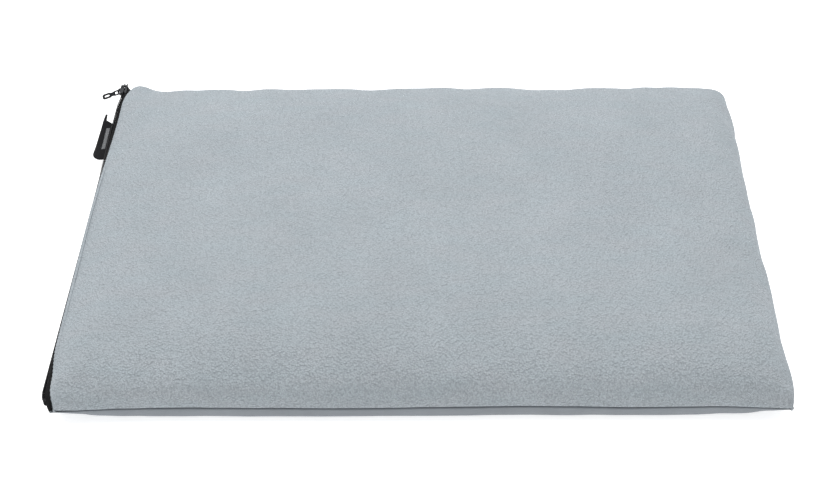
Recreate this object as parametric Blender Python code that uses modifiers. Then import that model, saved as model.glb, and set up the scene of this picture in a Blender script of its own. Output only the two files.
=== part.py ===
"""Camp pillow: a foam slab in a liner, inside a two-fabric cover that closes with a coil zip.

World frame: metres, +Z up, origin at the centre of the underside.  +X runs along the
pillow away from the zip end, +Y runs from the front edge to the rear edge.
"""
import math

import bmesh
import bpy
from mathutils import Matrix, Vector

MM = 0.001

# ---- the pillow's outside -------------------------------------------------------------
HALF_LENGTH = 300 * MM
HALF_WIDTH = 200 * MM
HEIGHT = 60 * MM
SEAM_Z = 17 * MM            # height of the seam between the two fabrics
END_PULL = 2 * MM           # how far the far end pulls in between its corners
SIDE_PULL = 6.5 * MM        # the same for the two long sides
CORNER_PULL = (1.5 * MM, 6 * MM)    # how far the far corners are rounded back: front, rear
ZIP_CORNER_PULL = 7 * MM    # how far the rear corner at the zip stands back
SHOULDER_X = 7.0            # exponents: the larger, the squarer the shoulder
SHOULDER_FRONT = 4.67
SHOULDER_REAR = 3.8
UNDERSIDE_X = 60.0
UNDERSIDE_Y = 42.0
EAR_X = 5.0                 # exponents of the lift of the underside at the corners
EAR_Y = 4.5
EAR_START = 0.02            # below this the underside stays exactly flat
END_BULGE = 2 * MM          # the foam pushes the zip end out over the zip

# ---- cloth ----------------------------------------------------------------------------
GAP = 0.3 * MM              # kept between every two pieces
FLEECE = 1.8 * MM
WOVEN = 0.8 * MM
LINER = 0.6 * MM
SEAM_ALLOWANCE = 8 * MM
SEWN_REACH = 0.67           # how far towards the corners it reaches, in s and in t
THREAD_RADIUS = 0.25 * MM
COLUMNS, ROWS = 24, 16      # cells of the cover's two panels
LINER_COLUMNS, LINER_ROWS = 18, 12

# ---- the mouth: the part of the top panel that lifts when the zip is open ----------------
MOUTH_COLUMN = 5            # cells from the zip to the fold line
MOUTH_ROW = 5               # cells each side of the middle
MOUTH_S = -1 + 2 * MOUTH_COLUMN / COLUMNS
MOUTH_T = 2 * MOUTH_ROW / ROWS
MOUTH_GAP = 0.4 * MM

# ---- the inside --------------------------------------------------------------------------
LINER_HALF_LENGTH = 287 * MM
LINER_HALF_WIDTH = 182.5 * MM
CORE_HALF_LENGTH = 283 * MM
CORE_HALF_WIDTH = 178.5 * MM

# ---- the zip, a number 5 coil along the end at -X -------------------------------------------
TAPE_X = -296.3 * MM        # middle plane of the tapes beside the coil, half way along
CHAIN_Z = 22.5 * MM         # height of the chain's centre line half way along
CHAIN_TILT = 0.015          # how steeply it climbs towards the rear
CHAIN_TURN = 0.009          # and how much it turns inwards
TAPE = 0.6 * MM
TAPE_INNER_EDGE = 1.5 * MM  # from the chain's centre line to each tape's edge
TAPE_FLAT = 5.2 * MM        # to where the tape turns towards the cover
TAPE_END_T = 0.85           # where the tapes end, in the cover's width parameter
TAPE_REAR, TAPE_FRONT = 205.8 * MM, -197 * MM   # their ends beside the coil
TAPE_LAP = (3.0 * MM, 3.6 * MM)     # how far a tape reaches under its panel: upper, lower
TAPE_LEAN = (0.0, 45.0)     # degrees it leans in there, away from upright, in the middle
COIL_INNER, COIL_OUTER = 0.2 * MM, 3.0 * MM
COIL_DEPTH = (0.6 * MM, 2.5 * MM)
COIL_REAR, COIL_FRONT = 197.4 * MM, -190 * MM
TOP_STOP_Y = 204.2 * MM
RIM_X = (294 * MM, 288 * MM)        # from the middle to the panels' zip edges: middle, ends
RIM_ABOVE = (10 * MM, 5.8 * MM)     # from the chain up to the top panel's zip edge
RIM_BELOW = (10 * MM, 5.0 * MM)     # and down to the bottom panel's
RIM_POWER = 8

# ---- slider, in its own frame: depth is outward from the tapes' middle plane --------------------
SLIDER_Y = 197 * MM
SLIDER_LENGTH = 11 * MM
SLIDER_HALF = 4.5 * MM
SLIDER_FLANGE = 3.4 * MM
OUTER_WING = (2.9 * MM, 4.0 * MM)
INNER_WING = (-2.3 * MM, -1.3 * MM)
BRIDGE_HALF = 1.2 * MM
PIVOT_DEPTH = 5.0 * MM
PULL_ANGLE = math.radians(30)       # at rest, from straight out towards the front
PULL_LENGTH = 18.5 * MM
PULL_THICKNESS = 1.1 * MM

# ---- labels ---------------------------------------------------------------------------------------
LABEL_Y = 142 * MM
LABEL_LENGTH = 62 * MM
LABEL_WIDTH = 15 * MM
LABEL_THICKNESS = 1.0 * MM
LABEL_PIVOT = (-296.9 * MM, 17.0 * MM)  # x, z of the sewn edge
CARE_LABEL = (0.4 * MM, 40 * MM, 22 * MM)
CARE_LABEL_AT = (-289.0 * MM, -60 * MM, 17 * MM)

# The zip's own frame: its x is into the pillow from the tapes' plane, y towards the rear
# along the chain, and z across it.
ZIP_FRAME = Matrix(((1, CHAIN_TURN, 0, TAPE_X), (0, 1, 0, 0), (0, CHAIN_TILT, 1, CHAIN_Z),
                    (0, 0, 0, 1)))

FLEECE_BLUE_GREY = (0.415, 0.475, 0.530)
WOVEN_GREY = (0.235, 0.265, 0.290)
LINER_WHITE = (0.72, 0.72, 0.70)
FOAM_CREAM = (0.80, 0.74, 0.58)
BLACK = (0.012, 0.013, 0.014)
GUNMETAL = (0.090, 0.092, 0.098)
THREAD_GREY = (0.30, 0.33, 0.36)
LABEL_WHITE = (0.75, 0.75, 0.74)


# ============================ scene helpers =================================================

def clear_scene():
    for obj in list(bpy.data.objects):
        bpy.data.objects.remove(obj, do_unlink=True)


def collection(name):
    made = bpy.data.collections.new(name)
    bpy.context.scene.collection.children.link(made)
    return made


def finish(name, colour, roughness, metallic=0.0):
    material = bpy.data.materials.new(name)
    material.use_nodes = True
    shader = material.node_tree.nodes["Principled BSDF"]
    shader.inputs["Base Color"].default_value = (*colour, 1)
    shader.inputs["Roughness"].default_value = roughness
    shader.inputs["Metallic"].default_value = metallic
    return material


def add_object(name, data, material, parent=None):
    """Link data as a new object of the pillow; its mesh is already in world coordinates."""
    obj = bpy.data.objects.new(name, data)
    bpy.data.collections["camp_pillow"].objects.link(obj)
    if material:
        data.materials.append(material)
    if parent:
        obj.parent = parent
        obj.matrix_parent_inverse = Matrix.Translation(-Vector(parent.location))
    return obj


def axis_empty(name, location):
    """An empty on a joint's axis; the moving pieces are parented to it."""
    empty = bpy.data.objects.new(name, None)
    bpy.data.collections["camp_pillow"].objects.link(empty)
    empty.location = location
    return empty


def mesh_from(bm, name):
    mesh = bpy.data.meshes.new(name)
    bm.to_mesh(mesh)
    bm.free()
    return mesh


def solidify(obj, thickness):
    modifier = obj.modifiers.new("thickness", "SOLIDIFY")
    modifier.thickness = thickness
    modifier.offset = -1


def round_edges(obj, width, segments=2):
    modifier = obj.modifiers.new("round", "BEVEL")
    modifier.width = width
    modifier.segments = segments
    modifier.limit_method = "ANGLE"
    modifier.angle_limit = math.radians(40)


def smooth(obj, degrees=40):
    obj.data.shade_smooth()
    obj.data.set_sharp_from_angle(angle=math.radians(degrees))


def boolean(obj, other, operation):
    """Join or cut with another solid, which becomes a hidden guide."""
    modifier = obj.modifiers.new(operation.lower(), "BOOLEAN")
    modifier.operation = operation
    modifier.solver = "EXACT"
    modifier.object = other
    bpy.data.collections["camp_pillow"].objects.unlink(other)
    bpy.data.collections["cutters"].objects.link(other)
    other.hide_render = True
    other.display_type = "WIRE"


def box_mesh(name, low, high):
    bm = bmesh.new()
    bmesh.ops.create_cube(bm, size=1)
    for vert in bm.verts:
        vert.co = [a + (b - a) * (c + 0.5) for a, b, c in zip(low, high, vert.co)]
    return mesh_from(bm, name)


def outline_mesh(name, outlines, thickness, frame):
    """Flat closed outlines (the second and later ones are holes), thickened about their plane."""
    curve = bpy.data.curves.new(name, "CURVE")
    curve.dimensions = "2D"
    curve.fill_mode = "BOTH"
    curve.extrude = thickness / 2
    for outline in outlines:
        spline = curve.splines.new("POLY")
        spline.points.add(len(outline) - 1)
        spline.use_cyclic_u = True
        for point, (x, y) in zip(spline.points, outline):
            point.co = (x, y, 0, 1)
    return curve_to_mesh(curve, name, frame)


def curve_to_mesh(curve, name, frame):
    holder = bpy.data.objects.new(name, curve)
    bpy.context.scene.collection.objects.link(holder)
    depsgraph = bpy.context.evaluated_depsgraph_get()
    mesh = bpy.data.meshes.new_from_object(holder.evaluated_get(depsgraph))
    bpy.data.objects.remove(holder)
    bm = bmesh.new()
    bm.from_mesh(mesh)
    bmesh.ops.remove_doubles(bm, verts=bm.verts, dist=0.00001)
    bmesh.ops.transform(bm, matrix=frame, verts=bm.verts)
    bmesh.ops.recalc_face_normals(bm, faces=bm.faces)
    bpy.data.meshes.remove(mesh)
    return mesh_from(bm, name)


def thread(name, points, material, parent=None, cyclic=False):
    """A sewing thread along the points."""
    curve = bpy.data.curves.new(name, "CURVE")
    curve.dimensions = "3D"
    curve.bevel_depth = THREAD_RADIUS
    curve.bevel_resolution = 1
    curve.use_fill_caps = not cyclic
    spline = curve.splines.new("POLY")
    spline.points.add(len(points) - 1)
    spline.use_cyclic_u = cyclic
    for target, point in zip(spline.points, points):
        target.co = (*point, 1)
    return add_object(name, curve, material, parent)


def steps(low, high, count):
    """count + 1 evenly spaced values."""
    return [low + (high - low) * i / count for i in range(count + 1)]


# ============================ the cover's surfaces ============================================
# s runs from -1 at the zip end to 1 at the far end, t from -1 at the front to 1 at the rear.
# Their sines, u and v, are the position as a fraction of the half sides, so that the cells
# crowd towards the edges, where the surface turns over.

def fractions(s, t):
    return math.sin(math.pi / 2 * s), math.sin(math.pi / 2 * t)


def shoulder(fraction, exponent):
    """1 in the middle, falling to 0 with a vertical end at the edge."""
    return math.sqrt(max(0.0, 1 - abs(fraction) ** exponent))


def ends(pair, v):
    """A value along the zip that changes from its middle to its two ends."""
    middle, end = pair
    return middle + (end - middle) * abs(v) ** RIM_POWER


def zip_ramp(u):
    """1 at the zip end's edge, 0 over the far half."""
    return max(0.0, -u) ** 14


def plan(u, v):
    """Where a point of either panel lies in plan."""
    corner = CORNER_PULL[v > 0] * max(0.0, u) ** 12 * abs(v) ** 12
    if u < 0:
        half_x = ends(RIM_X, v)
    else:
        half_x = HALF_LENGTH - END_PULL * (1 - v * v) - corner
    half_y = HALF_WIDTH - SIDE_PULL * (1 - u ** 8) - corner
    if v > 0:
        half_y -= ZIP_CORNER_PULL * max(0.0, -u) ** 8
    return u * half_x, v * half_y


def zip_edge(y, v, side):
    """Height of a panel's edge at the zip; side is 1 for the top panel, -1 for the bottom."""
    rise = ends(RIM_ABOVE if side > 0 else RIM_BELOW, v)
    return CHAIN_Z + CHAIN_TILT * y + side * rise


def cornering(u, v):
    """1 at a corner, where the two panels lie flat on each other, and 0 along the sides."""
    return (abs(u) * abs(v)) ** 4


def top_surface(s, t):
    """Outside of the fleece panel."""
    u, v = fractions(s, t)
    x, y = plan(u, v)
    across = shoulder(u, SHOULDER_X)
    if u < 0:
        x -= END_BULGE * 4 * across * (1 - across) * (1 - v ** 4)
    rim = SEAM_Z + GAP / 2 + FLEECE * cornering(u, v)
    rim += (zip_edge(y, v, 1) - rim) * zip_ramp(u)
    exponent = SHOULDER_REAR if v > 0 else SHOULDER_FRONT
    return Vector((x, y, rim + (HEIGHT - rim) * across * shoulder(v, exponent)))


def hollow(u, v):
    """Height of the underside as a fraction of its rim: 0 where it lies flat."""
    flat = min(1.0, 1.08 * shoulder(u, UNDERSIDE_X) * shoulder(v, UNDERSIDE_Y))
    ear = max(0.0, abs(u) ** EAR_X * abs(v) ** EAR_Y - EAR_START) / (1 - EAR_START)
    return 1 - flat * (1 - ear)


def bottom_surface(s, t):
    """Outside of the woven panel."""
    u, v = fractions(s, t)
    x, y = plan(u, v)
    rim = SEAM_Z - GAP / 2 - WOVEN * cornering(u, v)
    rim += (zip_edge(y, v, -1) - rim) * zip_ramp(u)
    return Vector((x, y, rim * hollow(u, v)))


def turned_in(surface):
    """A panel's surface, with parameters past 1 giving its seam allowance, turned inwards."""
    def point(s, t):
        at_s = min(1.0, s)
        at_t = max(-1.0, min(1.0, t))
        rim = surface(at_s, at_t)
        return rim - Vector((s - at_s, t - at_t, 0)) * SEAM_ALLOWANCE
    return point


def offset(surface, s, t, distance):
    """A point that far from the surface, upwards where distance is positive."""
    step = 0.002
    along = surface(s + step, t) - surface(s, t)
    across = surface(s, t + step) - surface(s, t - step)
    normal = along.cross(across).normalized()
    return surface(s, t) + normal * distance


def panel_grid(columns, rows, keep=None, allowance=False):
    """A grid of parameters; allowance adds a strip past the three sewn sides."""
    bm = bmesh.new()
    bmesh.ops.create_grid(bm, x_segments=columns, y_segments=rows, size=1)
    if keep:
        unwanted = [f for f in bm.faces if not keep(*f.calc_center_median().xy)]
        bmesh.ops.delete(bm, geom=unwanted, context="FACES")
    if allowance:
        for direction in (Vector((1, 0, 0)), Vector((0, 1, 0)), Vector((0, -1, 0))):
            fold_out(bm, direction)
    return bm


def fold_out(bm, direction):
    """Extrude one side of the grid, away from its corners, by 1 in its parameters."""
    def on_side(vert):
        beside = vert.co.x if direction.y else vert.co.y
        return vert.co.dot(direction) > 0.999 and abs(beside) < SEWN_REACH + 0.001

    edges = [e for e in bm.edges if e.is_boundary and all(on_side(v) for v in e.verts)]
    made = bmesh.ops.extrude_edge_only(bm, edges=edges)["geom"]
    new_verts = [g for g in made if isinstance(g, bmesh.types.BMVert)]
    bmesh.ops.translate(bm, verts=new_verts, vec=direction)


def shape(bm, surface):
    for vert in bm.verts:
        vert.co = surface(vert.co.x, vert.co.y)


# ============================ pieces ==========================================================

def in_mouth(s, t):
    return s < MOUTH_S and abs(t) < MOUTH_T


def make_cover_top(material, hinge):
    """The fleece panel, and the part of it that lifts over the open zip."""
    panel = panel_grid(COLUMNS, ROWS, lambda s, t: not in_mouth(s, t), allowance=True)
    shape(panel, turned_in(top_surface))
    whole = add_object("cover_top_panel", mesh_from(panel, "cover_top_panel"), material)

    flap = panel_grid(COLUMNS, ROWS, in_mouth)
    for vert in flap.verts:
        s, t = vert.co.xy
        vert.co = top_surface(s, t)
        if s > MOUTH_S - 0.001:
            vert.co.x -= MOUTH_GAP
        if abs(t) > MOUTH_T - 0.001:
            vert.co.y -= math.copysign(MOUTH_GAP, t)
    part = add_object("cover_top_flap", mesh_from(flap, "cover_top_flap"), material, hinge)
    for obj in (whole, part):
        solidify(obj, FLEECE)
        smooth(obj, 60)


def make_cover_bottom(material):
    bm = panel_grid(COLUMNS, ROWS, allowance=True)
    shape(bm, turned_in(bottom_surface))
    bmesh.ops.reverse_faces(bm, faces=bm.faces)
    obj = add_object("cover_bottom_panel", mesh_from(bm, "cover_bottom_panel"), material)
    solidify(obj, WOVEN)
    smooth(obj, 60)


def make_cover_threads(material):
    """On each sewn side, the seam's thread in the fold and the overlock on the cut edges."""
    reach = SEWN_REACH - 0.02
    sides = {
        "front": [(s, -1, (0, 1)) for s in steps(-reach, reach, 12)],
        "rear": [(s, 1, (0, -1)) for s in steps(-reach, reach, 12)],
        "end": [(1, t, (-1, 0)) for t in steps(-reach, reach, 8)],
    }
    rows = {
        "cover_seam_thread": (3.4 * MM, FLEECE + GAP + 2 * THREAD_RADIUS),
        "cover_overlock": (SEAM_ALLOWANCE + GAP + 2 * THREAD_RADIUS, GAP / 2),
    }
    for row, (inward, height) in rows.items():
        for side, route in sides.items():
            points = []
            for s, t, (to_x, to_y) in route:
                rim = top_surface(s, t)
                rise = Vector((to_x * inward, to_y * inward, height))
                points.append(rim + rise)
            thread(f"{row}_{side}", points, material)


def rounded_plan(u, v, half_length, half_width):
    corner = CORNER_PULL[1] * (abs(u) * abs(v)) ** 12
    return u * (half_length - corner), v * (half_width - corner)


def inner_top(half_length, half_width, rim, crown, cloth=0.0):
    """A smaller copy of the cover's top, for what lies inside it."""
    def surface(s, t):
        u, v = fractions(s, t)
        edge = rim + cloth * cornering(u, v)
        rise = shoulder(u, SHOULDER_X) * shoulder(v, SHOULDER_REAR)
        return Vector((*rounded_plan(u, v, half_length, half_width), edge + (crown - edge) * rise))
    return surface


def inner_bottom(half_length, half_width, rim, floor, cloth=0.0):
    def surface(s, t):
        u, v = fractions(s, t)
        height = floor + (rim - cloth * cornering(u, v) - floor) * hollow(u, v)
        return Vector((*rounded_plan(u, v, half_length, half_width), height))
    return surface


def make_liner(material, thread_material):
    half = (LINER_HALF_LENGTH, LINER_HALF_WIDTH)
    top = panel_grid(LINER_COLUMNS, LINER_ROWS)
    shape(top, inner_top(*half, SEAM_Z + 1.5 * GAP, HEIGHT - FLEECE - GAP, LINER))
    upper = add_object("liner_top_panel", mesh_from(top, "liner_top_panel"), material)
    bottom = panel_grid(LINER_COLUMNS, LINER_ROWS)
    shape(bottom, inner_bottom(*half, SEAM_Z - 1.5 * GAP, WOVEN + GAP, LINER))
    bmesh.ops.reverse_faces(bottom, faces=bottom.faces)
    lower = add_object("liner_bottom_panel", mesh_from(bottom, "liner_bottom_panel"), material)
    for obj in (upper, lower):
        solidify(obj, LINER)
        smooth(obj, 60)

    side = steps(-1, 0.8, 9)
    around = [(a, -1) for a in side] + [(1, a) for a in side]
    around += [(-a, 1) for a in side] + [(-1, -a) for a in side]
    clear = GAP + 2 * THREAD_RADIUS
    wider = (LINER_HALF_LENGTH + clear, LINER_HALF_WIDTH + clear)
    loop = [(*rounded_plan(*fractions(s, t), *wider), SEAM_Z) for s, t in around]
    thread("liner_seam_thread", loop, thread_material, cyclic=True)


def make_foam_core(material):
    """One block of foam: a grid for its underside, extruded to its top."""
    half = (CORE_HALF_LENGTH, CORE_HALF_WIDTH)
    inside = LINER + GAP
    top = inner_top(*half, SEAM_Z + 0.5 * MM, HEIGHT - FLEECE - GAP - inside - 0.2 * MM)
    bottom = inner_bottom(*half, SEAM_Z - 0.5 * MM, WOVEN + GAP + inside + 0.2 * MM)
    bm = panel_grid(LINER_COLUMNS, LINER_ROWS)
    made = bmesh.ops.extrude_face_region(bm, geom=bm.faces[:])["geom"]
    upper = {g for g in made if isinstance(g, bmesh.types.BMVert)}
    for vert in bm.verts:
        surface = top if vert in upper else bottom
        vert.co = surface(vert.co.x, vert.co.y)
    bmesh.ops.recalc_face_normals(bm, faces=bm.faces)
    smooth(add_object("foam_core", mesh_from(bm, "foam_core"), material), 60)


def tape_route(t, surface, cloth, side):
    """Across one tape at t: flat beside the coil, then over to the panel and under its edge."""
    rim = surface(-1, t)
    flatness = abs(fractions(-1, t)[1]) ** RIM_POWER
    under = cloth + 2 * GAP + TAPE / 2
    lap, lean = (pair[0 if side > 0 else 1] for pair in (TAPE_LAP, TAPE_LEAN))
    lean = math.radians(lean + (90 - lean) * flatness)
    way = Vector((math.sin(lean), 0, side * math.cos(lean)))
    entry = rim + Vector((under * (1 - flatness), 0, -side * under))
    along = fractions(-1, t)[1] / fractions(-1, TAPE_END_T)[1]
    y = (TAPE_REAR + TAPE_FRONT) / 2 + (TAPE_REAR - TAPE_FRONT) / 2 * along
    beside = [ZIP_FRAME @ Vector((0, y, side * z)) for z in (TAPE_INNER_EDGE, TAPE_FLAT)]
    return [*beside, beside[1].lerp(entry, 0.5), entry, entry + way * lap]


def make_tape(name, surface, cloth, side, material, parent=None):
    """One half of the zip's tape; side is 1 above the coil and -1 below it."""
    lengthwise = steps(-TAPE_END_T, TAPE_END_T, 20)
    routes = [tape_route(t, surface, cloth, side) for t in lengthwise]
    across = len(routes[0]) - 1
    bm = bmesh.new()
    bmesh.ops.create_grid(bm, x_segments=across, y_segments=len(routes) - 1, size=1)
    for vert in bm.verts:
        column = round((vert.co.x + 1) / 2 * across)
        row = round((vert.co.y + 1) / 2 * (len(routes) - 1))
        vert.co = routes[row][column]
    if side < 0:
        bmesh.ops.reverse_faces(bm, faces=bm.faces)
    obj = add_object(name, mesh_from(bm, name), material, parent)
    modifier = obj.modifiers.new("thickness", "SOLIDIFY")
    modifier.thickness = TAPE
    modifier.offset = 0
    smooth(obj, 60)


def make_coil(name, side, material, parent=None):
    """One side of the coil, as the bar that it fills."""
    z = sorted(side * edge for edge in (COIL_INNER, COIL_OUTER))
    low = (-COIL_DEPTH[1], COIL_FRONT, z[0])
    high = (-COIL_DEPTH[0], COIL_REAR, z[1])
    mesh = box_mesh(name, low, high)
    mesh.transform(ZIP_FRAME)
    obj = add_object(name, mesh, material, parent)
    round_edges(obj, 0.5 * MM)
    smooth(obj)


def make_zip_stitch(name, surface, side, material, parent=None):
    """The row of stitching that holds a panel's edge to its tape."""
    route = steps(-0.8, 0.8, 20)
    clear = side * (GAP + THREAD_RADIUS)
    points = [offset(surface, -1 + 0.02, t, clear) for t in route]
    thread(name, points, material, parent)


def depth_frame(y):
    """Maps x to across the chain, y to outward from the tapes, the thickness to along it."""
    return ZIP_FRAME @ Matrix(((0, -1, 0, 0), (0, 0, 1, y), (1, 0, 0, 0), (0, 0, 0, 1)))


def make_stops(material):
    """Crimped stops: one on each coil at the rear, and one across both at the front."""
    inner, outer = 0.5 * MM, 3.2 * MM
    slot_start = 1.1 * MM
    for name, side in (("zip_top_stop_upper", 1), ("zip_top_stop_lower", -1)):
        clamp = [
            (inner, -1.7 * MM), (outer, -1.7 * MM), (outer, -0.7 * MM), (slot_start, -0.7 * MM),
            (slot_start, 0.7 * MM), (outer, 0.7 * MM), (outer, 1.9 * MM), (inner, 1.9 * MM),
        ]
        clamp = [(side * z, depth) for z, depth in clamp]
        mesh = outline_mesh(name, [clamp], 2.4 * MM, depth_frame(TOP_STOP_Y))
        obj = add_object(name, mesh, material)
        round_edges(obj, 0.2 * MM, 1)
        smooth(obj)

    web = 0.9 * MM
    half = [
        (outer, -1.7 * MM), (outer, -0.7 * MM), (web, -0.7 * MM),
        (web, 0.7 * MM), (outer, 0.7 * MM), (outer, 2.4 * MM),
    ]
    whole = half + [(-z, depth) for z, depth in reversed(half)]
    mesh = outline_mesh("zip_bottom_stop", [whole], 3 * MM, depth_frame(COIL_FRONT - 2.2 * MM))
    obj = add_object("zip_bottom_stop", mesh, material)
    round_edges(obj, 0.2 * MM, 1)
    smooth(obj)


def make_slider(material, parent):
    """Two flanged wings on a diamond post, with the bridge that carries the pull."""
    def channel(wing, flange_edge):
        back, front = wing if flange_edge > wing[0] else wing[::-1]
        return [
            (-SLIDER_HALF, back), (SLIDER_HALF, back), (SLIDER_HALF, flange_edge),
            (SLIDER_FLANGE, flange_edge), (SLIDER_FLANGE, front), (-SLIDER_FLANGE, front),
            (-SLIDER_FLANGE, flange_edge), (-SLIDER_HALF, flange_edge),
        ]

    along = depth_frame(SLIDER_Y)
    outer = outline_mesh("slider_body", [channel(OUTER_WING, 0.7 * MM)], SLIDER_LENGTH, along)
    body = add_object("slider_body", outer, material, parent)
    inner = outline_mesh("wing", [channel(INNER_WING, -0.7 * MM)], SLIDER_LENGTH, along)
    boolean(body, add_object("slider_inner_wing", inner, material), "UNION")

    facing = Matrix(((0, 0, -1, 0), (1, 0, 0, SLIDER_Y), (0, 1, 0, 0), (0, 0, 0, 1)))
    facing = ZIP_FRAME @ facing
    diamond = [(1.0, 0), (2.6, 1.1), (4.9, 1.1), (4.9, -1.1), (2.6, -1.1)]
    diamond = [(y * MM, z * MM) for y, z in diamond]
    middle = (OUTER_WING[1] + INNER_WING[0]) / 2
    shifted = Matrix.Translation((-middle, 0, 0)) @ facing
    post = outline_mesh("post", [diamond], 5.2 * MM, shifted)
    boolean(body, add_object("slider_post", post, material), "UNION")

    shield = [(-6, 3.4), (-6, -3.4), (-2, -4.1), (3.2, -5), (4.6, -4.6), (5.4, -3.2),
              (5.4, 3.2), (4.6, 4.6), (3.2, 5), (-2, 4.1)]
    shield = [(y * MM, z * MM) for y, z in shield]
    trim = outline_mesh("trim", [shield], 30 * MM, facing)
    boolean(body, add_object("slider_trim", trim, material), "INTERSECT")

    upright = Matrix(((0, -1, 0, 0), (1, 0, 0, SLIDER_Y), (0, 0, 1, 0), (0, 0, 0, 1)))
    upright = ZIP_FRAME @ upright
    arch = [(-4.6, 3.6), (-3.6, 6.4), (-2.5, 7.3), (2.5, 7.3), (3.6, 6.4), (4.6, 3.6),
            (3.2, 3.6), (2.7, 5.6), (2.1, 6.0), (-2.1, 6.0), (-2.7, 5.6), (-3.2, 3.6)]
    arch = [(y * MM, depth * MM) for y, depth in arch]
    bridge = outline_mesh("bridge", [arch], 2 * BRIDGE_HALF, upright)
    boolean(body, add_object("slider_bridge", bridge, material), "UNION")
    round_edges(body, 0.18 * MM, 1)
    smooth(body)


def stadium(centre, half_length, half_width, segments=8):
    """A slot's outline: straight sides with round ends, along x."""
    straight = half_length - half_width
    points = []
    for end in (1, -1):
        for i in range(segments + 1):
            angle = math.radians(-90 + 180 * i / segments)
            x = centre + end * (straight + half_width * math.cos(angle))
            points.append((x, end * half_width * math.sin(angle)))
    return points


def make_pull(material, parent):
    """A flat tag: an eye round the bridge, a waist, and a slotted grip."""
    half_eye, half_grip = 2.8 * MM, 3.0 * MM
    bar = 0.55 * MM
    side = [(-bar, half_eye), (6.0 * MM, half_eye), (7.6 * MM, 2.1 * MM), (9.4 * MM, 2.1 * MM),
            (11.0 * MM, half_grip), (17.1 * MM, half_grip), (PULL_LENGTH, 1.7 * MM)]
    outline = side + [(x, -z) for x, z in reversed(side)]
    eye_half = BRIDGE_HALF + 0.4 * MM
    eye = [(bar, -eye_half), (5.3 * MM, -eye_half), (5.3 * MM, eye_half), (bar, eye_half)]
    slot = stadium(13.8 * MM, 2.6 * MM, 1.2 * MM)
    pivot = Matrix.Translation(parent.location)
    turn = Matrix.Rotation(math.pi + PULL_ANGLE, 4, "Z") @ Matrix.Rotation(math.pi / 2, 4, "X")
    mesh = outline_mesh("slider_pull", [outline, eye, slot], PULL_THICKNESS, pivot @ turn)
    obj = add_object("slider_pull", mesh, material, parent)
    round_edges(obj, 0.2 * MM)
    smooth(obj)


def make_side_label(material, thread_material, hinge):
    """A folded woven tab in the zip's lower seam, and the stitches at its root."""
    pivot_x, pivot_z = LABEL_PIVOT
    half = LABEL_LENGTH / 2
    cut = 2.5 * MM
    outline = [(0, -half), (0, half), (-(LABEL_WIDTH - cut), half), (-LABEL_WIDTH, half - cut),
               (-LABEL_WIDTH, -half + 1.5 * cut), (-(LABEL_WIDTH - 1.5 * cut), -half)]
    frame = Matrix.Translation((pivot_x, LABEL_Y, pivot_z))
    mesh = outline_mesh("side_label", [outline], LABEL_THICKNESS, frame)
    obj = add_object("side_label", mesh, material, hinge)
    round_edges(obj, 0.2 * MM, 1)
    root_x = pivot_x + 1.0 * MM
    points = [(root_x, y, pivot_z) for y in steps(LABEL_Y - half, LABEL_Y + half, 6)]
    thread("side_label_stitch", points, thread_material)


def make_care_label(material):
    low = [at - size / 2 for at, size in zip(CARE_LABEL_AT, CARE_LABEL)]
    high = [at + size / 2 for at, size in zip(CARE_LABEL_AT, CARE_LABEL)]
    add_object("care_label", box_mesh("care_label", low, high), material)


def main():
    clear_scene()
    collection("camp_pillow")
    collection("cutters")
    fleece = finish("brushed_fleece", FLEECE_BLUE_GREY, 0.95)
    woven = finish("woven_grey", WOVEN_GREY, 0.8)
    liner = finish("liner_knit", LINER_WHITE, 0.9)
    foam = finish("foam", FOAM_CREAM, 0.95)
    tape = finish("zip_tape", BLACK, 0.85)
    coil = finish("zip_coil", BLACK, 0.45)
    gunmetal = finish("slider_metal", GUNMETAL, 0.35, 1.0)
    grey_thread = finish("grey_thread", THREAD_GREY, 0.8)
    black_thread = finish("black_thread", BLACK, 0.8)
    label_white = finish("care_label_white", LABEL_WHITE, 0.8)

    mouth = axis_empty("mouth_axis", top_surface(MOUTH_S, 0))
    make_cover_top(fleece, mouth)
    make_cover_bottom(woven)
    make_cover_threads(grey_thread)
    make_liner(liner, grey_thread)
    make_foam_core(foam)

    make_tape("zip_tape_upper", top_surface, FLEECE, 1, tape, mouth)
    make_tape("zip_tape_lower", bottom_surface, WOVEN, -1, tape)
    make_coil("zip_coil_upper", 1, coil, mouth)
    make_coil("zip_coil_lower", -1, coil)
    make_zip_stitch("zip_stitch_upper", top_surface, 1, grey_thread, mouth)
    make_zip_stitch("zip_stitch_lower", bottom_surface, -1, black_thread)
    make_stops(gunmetal)

    slider = axis_empty("slider_travel_axis", ZIP_FRAME @ Vector((0, SLIDER_Y, 0)))
    make_slider(gunmetal, slider)
    swing = axis_empty("pull_swing_axis", ZIP_FRAME @ Vector((-PIVOT_DEPTH, SLIDER_Y, 0)))
    make_pull(gunmetal, swing)
    flex = axis_empty("label_flex_axis", (LABEL_PIVOT[0], LABEL_Y, LABEL_PIVOT[1]))
    make_side_label(tape, black_thread, flex)
    make_care_label(label_white)


main()
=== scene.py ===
import math

import bpy
import numpy as np
from mathutils import Matrix, Vector, noise
from mathutils.kdtree import KDTree


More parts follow.
